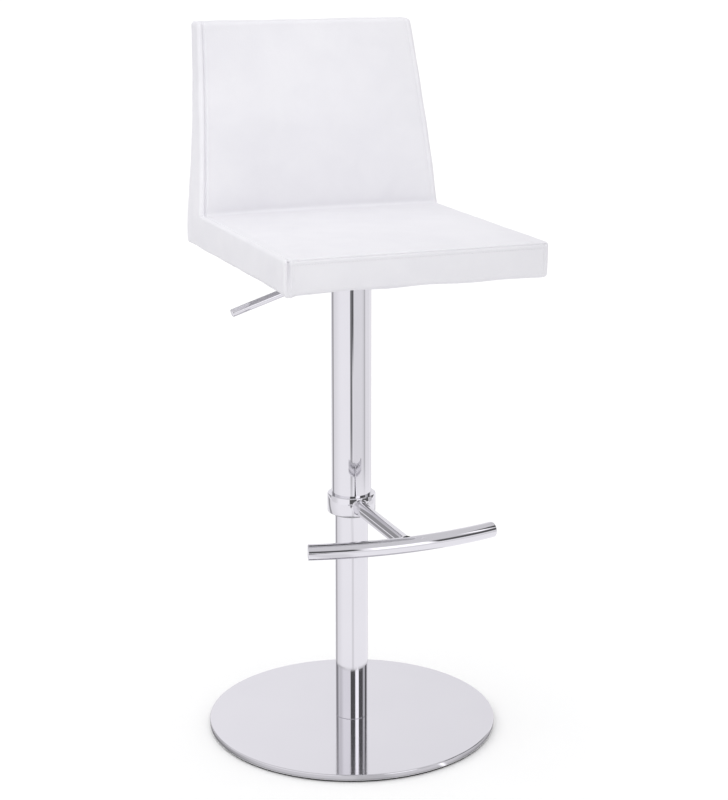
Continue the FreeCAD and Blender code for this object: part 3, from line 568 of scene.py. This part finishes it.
def moulded(name, dark, light, rough, grain):
    """A finish of plastic, paint or rubber: grain cells of that scale in the surface, and a
    faint unevenness of colour and shine."""
    def sockets(root):
        place_on = root.place()
        cells = place_on.noise(grain, Detail=3.0)
        tint = place_on.noise(24.0, Detail=4.0)
        bump = cells.bump(0.15, 0.0003)
        return {"Base Color": tint.colours(dark, light), "Roughness": rough + cells * 0.14,
                "Normal": bump}
    return finish_of(name, sockets)


hidden_finishes = {
    "fasteners": worked_metal("zinc_screws", (0.50, 0.50, 0.52), (0.66, 0.66, 0.68),
                              0.24, (300, 300, 300)),
    "turned_steel": worked_metal("turned_steel", (0.42, 0.42, 0.43), (0.56, 0.56, 0.57),
                                 0.26, (8, 8, 1500)),
    "bearing_steel": worked_metal("ground_steel", (0.58, 0.58, 0.60), (0.68, 0.68, 0.70),
                                  0.12, (90, 90, 90)),
    "cage_brass": worked_metal("pressed_brass", (0.60, 0.43, 0.17), (0.74, 0.55, 0.24),
                               0.24, (200, 200, 200)),
    "rod_chrome": worked_metal("ground_chrome_rod", (0.68, 0.68, 0.70), (0.76, 0.76, 0.78),
                               0.07, (60, 60, 900)),
    "zinc_plate": worked_metal("zinc_plated_sheet", (0.50, 0.51, 0.54), (0.68, 0.69, 0.72),
                               0.26, (14, 420, 60)),
    "hub_paint": moulded("black_powder_coat", (0.020, 0.020, 0.021), (0.034, 0.034, 0.036),
                         0.42, 700.0),
    "cylinder_paint": moulded("black_cylinder_paint", (0.013, 0.013, 0.014), (0.024, 0.024, 0.026),
                              0.28, 420.0),
    "guide_plastic": moulded("black_guide_plastic", (0.022, 0.022, 0.023), (0.036, 0.036, 0.037),
                             0.45, 520.0),
    "bush_plastic": moulded("grey_bush_plastic", (0.30, 0.30, 0.31), (0.38, 0.38, 0.39), 0.40, 520.0),
    "rubber": moulded("soft_black_rubber", (0.012, 0.012, 0.012), (0.028, 0.028, 0.029), 0.72, 640.0),
}


# ---- seat frame ---------------------------------------------------------------------------------
# Two panels of birch plywood carry the padding. Steel angle brackets join the back to the seat,
# and a zinc-plated steel plate on a hardboard spacer is bolted under the seat into tee nuts.
def plywood(root):
    """Birch plywood: long soft grain on its faces, and thin pale and brown plies on its edges."""
    place_on = root.place()
    across_grain = place_on.stretched((70.0, 4.0, 18.0))
    grain = across_grain.noise(1.0, Detail=6.0, Distortion=0.5)
    height_only = place_on.stretched((0.6, 0.6, 330.0))
    plies = root.node("ShaderNodeTexWave", settings={"bands_direction": "Z"}, Vector=height_only,
                      Scale=0.5, Distortion=0.8, Detail=2.0)
    tone = grain * 0.7 + plies * 0.3
    bump = grain.bump(0.2, 0.0004)
    return {"Base Color": tone.colours((0.46, 0.31, 0.17), (0.72, 0.56, 0.37)),
            "Roughness": 0.55 + grain * 0.2, "Normal": bump}


def hardboard(root):
    """Hardboard: brown pressed fibres, matt, with darker flecks."""
    place_on = root.place()
    fibres = place_on.noise(420.0, Detail=5.0, Distortion=1.5)
    flecks = place_on.cells(180.0)
    bump = fibres.bump(0.3, 0.0003)
    return {"Base Color": (fibres * 0.6 + flecks * 0.4).colours((0.13, 0.075, 0.04), (0.27, 0.17, 0.10)),
            "Roughness": 0.7 + flecks * 0.2, "Normal": bump}


hidden_finishes["plywood"] = finish_of("birch_plywood", plywood)
hidden_finishes["hardboard"] = finish_of("pressed_hardboard", hardboard)
for part in nodes.values():
    for material_slot in part.material_slots:
        finish = hidden_finishes.get(material_slot.material.name)
        if finish:
            material_slot.material = finish


# ---- upholstery ---------------------------------------------------------------------------------
# The seat and back are one L of foam on plywood in a tight cover of white coated leather: two side
# panels and a long centre panel, sewn together along every edge and stapled under the seat.
leather_thick = 0.0015
cover_low, cover_high = box_of("centre_panel")
seat_top = box_of("seat_padding")[1][2] + leather_thick
seat_half = box_of("side_panel_left")[1][0]
back_top_half = 0.172
front_y, seat_floor, back_top = cover_low[1], cover_low[2], cover_high[2]
seat_thick = seat_top - seat_floor
back_foot_y, back_head_y, back_bow = 0.125, 0.190, 0.007
rear_floor_y, rear_foot_y, rear_head_y, rear_bow = 0.200, 0.197, 0.2295, 0.016
edge_round = 0.0065
seam_inset_front, seam_inset_back = 0.0070, 0.0092
stitch_drop = 0.0091
table_step = 0.0005


def bowed_line(foot, head, bow):
    """Points (y, z) up the back from foot to head, pushed to the front by bow * 4t(1 - t)."""
    t = np.linspace(0, 1, 60)
    return np.stack([foot + (head - foot) * t - bow * 4 * t * (1 - t),
                     seat_top + (back_top - seat_top) * t], axis=-1)


def paired(inner, outer):
    """Points at even steps along two lines, in pairs. Both are walked at the same pace near their
    start, and the difference in their lengths is made up by u^3 (6u^2 - 15u + 10) further on."""
    ways = [np.append(0, np.cumsum(np.linalg.norm(np.diff(line, axis=0), axis=1)))
            for line in (inner, outer)]
    mean = (ways[0][-1] + ways[1][-1]) / 2
    along = np.arange(0, mean, table_step)
    u = along / mean
    made_up = u ** 3 * (6 * u * u - 15 * u + 10)
    return np.stack([np.stack([np.interp(along + (way[-1] - mean) * made_up, way, line[:, i])
                               for i in (0, 1)], axis=-1)
                     for way, line in zip(ways, (inner, outer))])


def eased(line, soft):
    """The line's points, each averaged with its neighbours under a bell curve soft wide. Beyond
    its ends the line is taken to carry straight on."""
    reach = int(3 * soft / table_step)
    bell = np.exp(-(np.arange(-reach, reach + 1) * table_step / soft) ** 2 / 2)
    longer = np.concatenate([2 * line[0] - line[reach:0:-1], line, 2 * line[-1] - line[-2:-reach - 2:-1]])
    return np.stack([np.convolve(longer[:, i], bell / bell.sum(), "valid") for i in (0, 1)], axis=-1)


seat_leg = paired(np.array([[front_y, seat_top], [back_foot_y, seat_top]]),
                  np.array([[front_y, seat_floor], [rear_floor_y, seat_floor]]))
back_leg = paired(bowed_line(back_foot_y, back_head_y, back_bow)[::-1],
                  np.append(bowed_line(rear_foot_y, rear_head_y, rear_bow)[::-1],
                            [[rear_floor_y, seat_floor]], axis=0))
inner_line, outer_line = np.concatenate([seat_leg, back_leg[:, ::-1]], axis=1)
inner_line, outer_line = eased(inner_line, 0.005), eased(outer_line, 0.0035)
slab_length = (len(inner_line) - 1) * table_step
crease_at = (seat_leg.shape[1] - 0.5) * table_step


def on_slab(a, low):
    """(y, z) at a metres along the slab and low metres above its outer side, and the slab's
    thickness there."""
    way = np.arange(len(inner_line)) * table_step
    inner, outer = (np.stack([np.interp(a, way, line[:, i]) for i in (0, 1)], axis=-1)
                    for line in (inner_line, outer_line))
    thick = np.linalg.norm(inner - outer, axis=-1)
    return outer + (inner - outer) * (low / thick)[..., None], thick


def between_ends(fine, step, length):
    """For each place across a length: its distance from the nearer end if it is one of the fine
    ones there, or the last fine one; and its share of what is left between the two."""
    fine = np.asarray(fine)
    middle = max(1, int(round((length - 2 * fine[-1]) / step)))
    from_end = np.concatenate([fine, np.full(middle - 1, fine[-1]), fine[::-1]])
    share = np.concatenate([0 * fine, np.arange(1, middle) / middle, 0 * fine + 1])
    return from_end, share


def across(from_end, share, length):
    """Where those places lie on a given length: from_end in from either end, or spread evenly."""
    middle = from_end + (length - 2 * from_end) * share
    return np.where(share == 0, from_end, np.where(share == 1, length - from_end, middle))


def padded_slab(fine, step, shrink):
    """The slab's closed skin as points and quads, with its corners rounded. Within edge_round of
    two or more faces a point lies beyond the slab's core by q, and it moves in by
    q (1 - (edge_round - shrink) / |q|). Also each point's place: along, above the outer side,
    below the inner side, in from the nearer side, and +1 or -1 for the side."""
    seat_a = across(*between_ends(fine["along"], step, crease_at), crease_at)
    back_a = across(*between_ends(fine["along"], step, slab_length - crease_at), slab_length - crease_at)
    a_places = np.unique(np.round(np.append(seat_a, crease_at + back_a), 6))
    b_from, b_share = between_ends(fine["up"], step, seat_thick)
    c_from, c_share = between_ends(fine["across"], step, 2 * seat_half)
    counts = (len(a_places), len(b_from), len(c_from))
    faces = []
    for axis in range(3):
        rows, columns = (i for i in range(3) if i != axis)
        for end in (0, counts[axis] - 1):
            index = np.full((counts[rows], counts[columns], 3), end)
            index[..., rows] = np.arange(counts[rows])[:, None]
            index[..., columns] = np.arange(counts[columns])
            quads = grid_quads(counts[rows], counts[columns])
            turn_over = (end == 0) == (axis == 1)
            faces.append(index.reshape(-1, 3)[quads[:, ::-1] if turn_over else quads])
    corners = np.concatenate(faces)
    number = np.ravel_multi_index(tuple(corners[..., i] for i in range(3)), counts)
    used, quads = np.unique(number, return_inverse=True)
    i, j, k = np.unravel_index(used, counts)
    a = a_places[i]
    thick = on_slab(a, 0 * a)[1]
    b = across(b_from[j], b_share[j], thick)
    height = on_slab(a, b)[0][:, 1]
    up_back = np.clip((height - seat_top) / (back_top - seat_top), 0, 1)
    half = seat_half - (seat_half - back_top_half) * up_back
    c = across(c_from[k], c_share[k], 2 * half) - half
    place = {"along": a, "above": b, "below": thick - b, "inward": half - np.abs(c), "side": np.sign(c)}
    beyond = [np.maximum(edge_round - far, 0) - np.maximum(edge_round - near, 0)
              for near, far in ((a, slab_length - a), (b, thick - b), (half + c, half - c))]
    q = np.stack(beyond, axis=-1)
    size = np.maximum(np.linalg.norm(q, axis=1), 1e-9)
    q *= ((edge_round - shrink) / size - 1)[:, None]
    points_yz = on_slab(a + q[:, 0], b + q[:, 1])[0]
    points = np.column_stack([c + q[:, 2], points_yz])
    return points, quads.reshape(-1, 4), place


def outward(points, quads):
    """Unit normals at the points: the sum of their quads' normals, each as large as its quad."""
    corner = points[quads]
    normal = np.cross(corner[:, 2] - corner[:, 0], corner[:, 3] - corner[:, 1])
    total = np.zeros_like(points)
    for i in range(4):
        np.add.at(total, quads[:, i], normal)
    return total / np.maximum(np.linalg.norm(total, axis=1), 1e-12)[:, None]


def swell(points, quads, held, cap):
    """How far each point of a closed skin moves when the foam presses it out from inside: cloth
    with pressure and no gravity, with no point moving further than the cap."""
    frames = 20
    mesh = bpy.data.meshes.new("skin")
    mesh.from_pydata(points.tolist(), [], quads.tolist())
    skin = bpy.data.objects.new("skin", mesh)
    scene.collection.objects.link(skin)
    group = skin.vertex_groups.new(name="held")
    for weight in np.unique(held[held > 0]):
        group.add(np.flatnonzero(held == weight).tolist(), float(weight), "REPLACE")
    cloth = skin.modifiers.new("cloth", "CLOTH")
    cloth.settings.use_pressure = True
    cloth.settings.uniform_pressure_force = 4.0
    cloth.settings.vertex_group_mass = "held"
    cloth.settings.effector_weights.gravity = 0.0
    cloth.settings.mass = 0.4
    cloth.settings.tension_stiffness = 25.0
    cloth.settings.compression_stiffness = 15.0
    cloth.point_cache.frame_start, cloth.point_cache.frame_end = 1, frames
    for frame_number in range(1, frames + 1):
        scene.frame_set(frame_number)
    shown = skin.evaluated_get(bpy.context.evaluated_depsgraph_get())
    moved = np.empty(len(points) * 3)
    shown.data.vertices.foreach_get("co", moved)
    bpy.data.objects.remove(skin)
    bpy.data.meshes.remove(mesh)
    scene.frame_set(1)
    moved = moved.reshape(-1, 3) - points
    return moved * np.minimum(1, cap / np.maximum(np.linalg.norm(moved, axis=1), 1e-9))[:, None]


def carried(points, known, values, soft):
    """The values known at some points, averaged at other points under a bell curve soft wide."""
    found = []
    for part in np.array_split(points, len(points) // 1500 + 1):
        square = (part ** 2).sum(1)[:, None] + (known ** 2).sum(1)[None, :] - 2 * part @ known.T
        weight = np.exp(-square / (2 * soft * soft)) + 1e-30
        found.append(weight @ values / weight.sum(1)[:, None])
    return np.concatenate(found)


def bell(distance, soft):
    """1 at distance 0, falling away on both sides: exp(-(distance / soft)^2)."""
    return np.exp(-(distance / soft) ** 2)


coarse_steps = {"along": (0, 0.0022, 0.0045, 0.0065, 0.012), "up": (0, 0.0022, 0.0045, 0.0065),
                "across": (0, 0.0022, 0.0045, 0.0065, 0.012)}
fine_steps = {"along": (0, 0.0018, 0.0034, 0.0048, 0.0058, 0.0066, 0.0078, 0.0092, 0.011, 0.014, 0.018),
              "up": (0, 0.0012, 0.0022, 0.003, 0.004, 0.0052, 0.0066, 0.008, stitch_drop, 0.0102, 0.012),
              "across": (0, 0.0018, 0.0034, 0.0048, 0.0059, 0.0069, 0.0077, 0.0084, 0.0092, 0.01, 0.0107,
                         0.0116, 0.0132, 0.016, 0.020, 0.026)}
skin_sunk, seam_hold = 0.0003, 0.0095
start_points, start_quads, start_place = padded_slab(coarse_steps, 0.0105, skin_sunk)
under_seat = (start_place["above"] < 1e-6) & (start_place["along"] < crease_at + 0.004)
at_end = (start_place["along"] < seam_hold) | (start_place["along"] > slab_length - seam_hold)
at_seams = sum((start_place[side] < seam_hold).astype(int) for side in ("above", "below", "inward")) \
    + at_end > 1
in_crease = (start_place["below"] < 1e-6) & (np.abs(start_place["along"] - crease_at) < 0.008)
held = np.where(under_seat | in_crease, 1.0, np.where(at_seams, 0.9, 0.0))
swelling = swell(start_points, start_quads, held, cap=0.004)

skin_points, skin_quads, place = padded_slab(fine_steps, 0.0088, skin_sunk)
skin_points += carried(skin_points, start_points, swelling, soft=0.008)

# The seams pull the cover into grooves, it puffs up beside them, and it is sewn down in the crease.
facing = outward(skin_points, skin_quads)
on_front = place["along"] < 1e-6
on_inner = place["below"] < 1e-6
on_seat = on_inner & (place["along"] < crease_at)
seam_gap = place["inward"] - seam_inset_front \
    - (seam_inset_back - seam_inset_front) * np.clip(place["along"] / crease_at, 0, 1)
x, y, z = skin_points.T
seam_strength = np.where(on_seat, 0.45, 1.0) * np.where(place["side"] > 0, 0.3, 1.0)
seam_strength *= np.where(z < seat_floor + 0.019, 0.45, 1.0)
seam_depth, seam_reach = np.where(on_front, 0.0034, 0.0022), np.where(on_front, 0.0019, 0.0014)
relief = -seam_depth * bell(seam_gap, seam_reach) * seam_strength
puff = np.where(on_front, 0.0013, 0.0006)
relief += puff * bell(np.abs(seam_gap) - 0.0038, 0.0022) * seam_strength
top_seam = -0.0013 * bell(place["below"] - 0.0026, 0.0009)
stitch_pull = -0.0004 * bell(place["below"] - stitch_drop, 0.0008)
between_both = 0.0004 * bell(place["below"] - 0.0058, 0.0016)
relief += np.where(on_front, top_seam + stitch_pull + between_both, 0)
crease_bow = 0.004 * (1 - (place["inward"] / seat_half - 1) ** 2)
relief += np.where(on_inner, -0.0020 * bell(place["along"] - crease_at - crease_bow, 0.006), 0)
ripple = np.sin(x * 61 + y * 37 + 1.0) * np.sin(y * 83 - z * 45) + 0.7 * np.sin(z * 97 + x * 29 + 2.1)
pucker = np.sin(place["along"] * 390 + np.sin(place["along"] * 71)) * bell(place["inward"] - 0.013, 0.008)
crease_fold = np.sin(x * 210 + np.sin(x * 47)) * bell(place["along"] - crease_at, 0.022) * on_inner
relief += 0.00030 * ripple + 0.00022 * pucker + 0.00035 * crease_fold
edge_wave = bell(z - seat_floor, 0.012) * (0.0005 * np.sin(x * 52 + 0.7) + 0.0004 * np.sin(y * 61 + x * 9))
relief = np.where(z < seat_floor + 0.025, np.maximum(relief, -0.0009), relief)
skin_points += facing * relief[:, None]
corner_sag = 0.0016 * bell(x + seat_half, 0.035) * bell(y - front_y, 0.035) \
    + 0.0038 * bell(x + seat_half - seam_inset_front, 0.007) * bell(y - front_y, 0.009)
skin_points[:, 2] += edge_wave - corner_sag * np.clip((seat_top - z) / seat_thick, 0, 1)

# Under the seat the cover's border is turned in and stapled, and the bare board is higher.
board_under = box_of("seat_board")[0][2] + 0.00005
border = np.minimum(seat_half - np.abs(x), np.minimum(y - front_y, rear_floor_y - y))
under = place["above"] < 1e-6
recess = np.clip((border - 0.019) / 0.006, 0, 1) * under * (place["along"] < crease_at)
skin_points[:, 2] = np.maximum(z, z * (1 - recess) + board_under * recess)


def white_leather(root):
    """Coated leather: a fine pebble grain of small cells on softer pebbles, creases where it is
    stretched, a lilac-white that turns a touch greyer in patches, and a satin shine."""
    place_on = root.place()
    pebbles = root.node("ShaderNodeTexVoronoi", settings={"feature": "SMOOTH_F1"}, Vector=place_on,
                        Scale=620.0, Smoothness=0.6)
    fine_grain = place_on.noise(900.0, Detail=3.0)
    patches = place_on.noise(7.0, Detail=3.0)
    broad = place_on.noise(26.0, Detail=5.0, Distortion=0.6)
    creases = place_on.noise(60.0, Detail=4.0, Distortion=1.4)
    tone = root.math("MULTIPLY_ADD", patches, 0.7, broad * 0.3).ramp(0.3, 0.7)
    grain = pebbles * 0.7 + fine_grain * 0.3
    height = grain + creases * 0.9
    bump = height.bump(0.22, 0.0006)
    return {"Base Color": tone.colours((0.712, 0.705, 0.742), (0.755, 0.748, 0.780)),
            "Roughness": 0.42 + grain * 0.12 + broad * 0.06, "Normal": bump,
            "Specular IOR Level": 0.4}


leather = finish_of("white_leather_cover", white_leather)
cover = surface("leather_upholstery", skin_points, skin_quads, leather)
finer = cover.modifiers.new("finer", "SUBSURF")
finer.levels = finer.render_levels = 1
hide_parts("centre_panel", "side_panel_left", "side_panel_right", "seat_padding", "back_padding")
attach(cover, "seat_unit")


# ---- front stitching ----------------------------------------------------------------------------
# A row of lockstitches in white thread runs along the front edge, just below its seam, and holds
# the turned-in leather down.
def stitch_row(name, path, pitch, length, thick, material):
    """Short round threads with blunt ends, one each pitch along a path of points: rings of radius
    thick sqrt(1 - t^4) at t from -1 to 1 along the length, dipping into the leather at both ends."""
    way = np.append(0, np.cumsum(np.linalg.norm(np.diff(path, axis=0), axis=1)))
    count = int(way[-1] / pitch)
    middle = (np.arange(count) + 0.5) * way[-1] / count
    t = np.array([-1, -0.8, -0.3, 0.3, 0.8, 1])
    radius = thick * np.sqrt(np.maximum(1 - t ** 4, 0))
    turn = np.linspace(0, 2 * math.pi, 8, endpoint=False)
    places = middle[:, None] + t * length / 2
    centre = np.stack([np.interp(places, way, path[:, i]) for i in range(3)], axis=-1)
    centre[..., 1] += thick * (t * t - 0.55)
    ring = np.stack([0 * turn, np.cos(turn), np.sin(turn)], axis=-1)
    points = centre[:, :, None, :] + radius[None, :, None, None] * ring[None, None]
    one = grid_quads(len(t), len(turn), wrap_columns=True)[:, ::-1]
    quads = (np.arange(count)[:, None, None] * len(t) * len(turn) + one).reshape(-1, 4)
    return surface(name, points, quads, material)


def thread(root):
    """Waxed white thread: a twist of fine strands, with painted shade making it greyer in the twist's
    hollows.
    """
    place_on = root.place()
    twist = root.node("ShaderNodeTexWave", settings={"bands_direction": "DIAGONAL"}, Vector=place_on,
                      Scale=900.0, Distortion=1.0)
    bump = twist.bump(0.5, 0.0002)
    # Painted shade: the colour is greyer where the twist's bump is low, in its hollows.
    return {"Base Color": twist.colours((0.60, 0.59, 0.63), (0.80, 0.79, 0.82)),
            "Roughness": 0.5 + twist * 0.2, "Normal": bump}


stitch_path = skin_points[on_front & (np.abs(place["below"] - stitch_drop) < 0.0006)]
stitch_path = stitch_path[np.argsort(stitch_path[:, 0])]
stitch_path = stitch_path[np.abs(stitch_path[:, 0]) < seat_half - 0.012]
front_stitches = stitch_row("front_topstitch", stitch_path, pitch=0.0040, length=0.0029, thick=0.00042,
                            material=finish_of("white_thread", thread))
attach(front_stitches, "seat_unit")


# ---- dust sheet ---------------------------------------------------------------------------------
# A grey non-woven sheet closes the underside. It is cut round the steel plate, and stapled taut
# over the leather's turned-in border.
dust_low, dust_high = box_of("dust_cover")
plate_half, plate_room = box_of("mounting_plate")[1][0], 0.0006


def dust_cloth(root):
    """Spun-bonded grey cloth: short tangled fibres, a fine grid of weld points, thin patches."""
    place_on = root.place()
    tangle = place_on.noise(520.0, Detail=5.0, Distortion=2.0)
    welds = place_on.cells(480.0)
    lint = place_on.noise(30.0, Detail=5.0)
    bump = (tangle + welds).bump(0.35, 0.0003)
    return {"Base Color": (tangle * 0.5 + lint * 0.5).colours((0.40, 0.395, 0.42), (0.54, 0.535, 0.56)),
            "Roughness": 0.85 + tangle * 0.1, "Normal": bump}


def sheet_lines(low, high, step):
    """Even places from low to high, with the plate's two edges among them."""
    cuts = [low, -plate_half - plate_room, plate_half + plate_room, high]
    runs = [np.linspace(start, end, max(2, int(round((end - start) / step)) + 1))
            for start, end in zip(cuts[:-1], cuts[1:])]
    return np.unique(np.round(np.concatenate(runs), 7))


sheet_x = sheet_lines(dust_low[0], dust_high[0], 0.006)
sheet_y = sheet_lines(dust_low[1], dust_high[1], 0.006)
grid_y, grid_x = np.meshgrid(sheet_y, sheet_x, indexing="ij")
from_plate = np.maximum(np.abs(grid_x), np.abs(grid_y)) - plate_half
from_edge = np.minimum(np.minimum(grid_x - dust_low[0], dust_high[0] - grid_x),
                       np.minimum(grid_y - dust_low[1], dust_high[1] - grid_y))
slack = np.clip(from_edge / 0.03, 0, 1) * np.clip(from_plate / 0.02, 0, 1)
sheet_z = dust_low[2] + 0.0005 - 0.0011 * slack * (0.6 + 0.4 * np.sin(grid_x * 58 + grid_y * 23)
                                                   * np.sin(grid_y * 44 - grid_x * 17))
sheet_quads = grid_quads(len(sheet_y), len(sheet_x))[:, ::-1]
sheet_centre = np.stack([grid_x, grid_y], axis=-1).reshape(-1, 2)[sheet_quads].mean(axis=1)
outside_plate = (np.abs(sheet_centre) > plate_half).any(axis=1)
sheet_quads = sheet_quads[outside_plate]
dust_sheet = surface("underside_dust_sheet", np.stack([grid_x, grid_y, sheet_z], axis=-1), sheet_quads,
                     finish_of("grey_dust_cloth", dust_cloth))
body_of_cloth = dust_sheet.modifiers.new("body_of_cloth", "SOLIDIFY")
body_of_cloth.thickness = 0.0005
body_of_cloth.offset = 0.0
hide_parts("dust_cover")
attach(dust_sheet, "seat_unit")
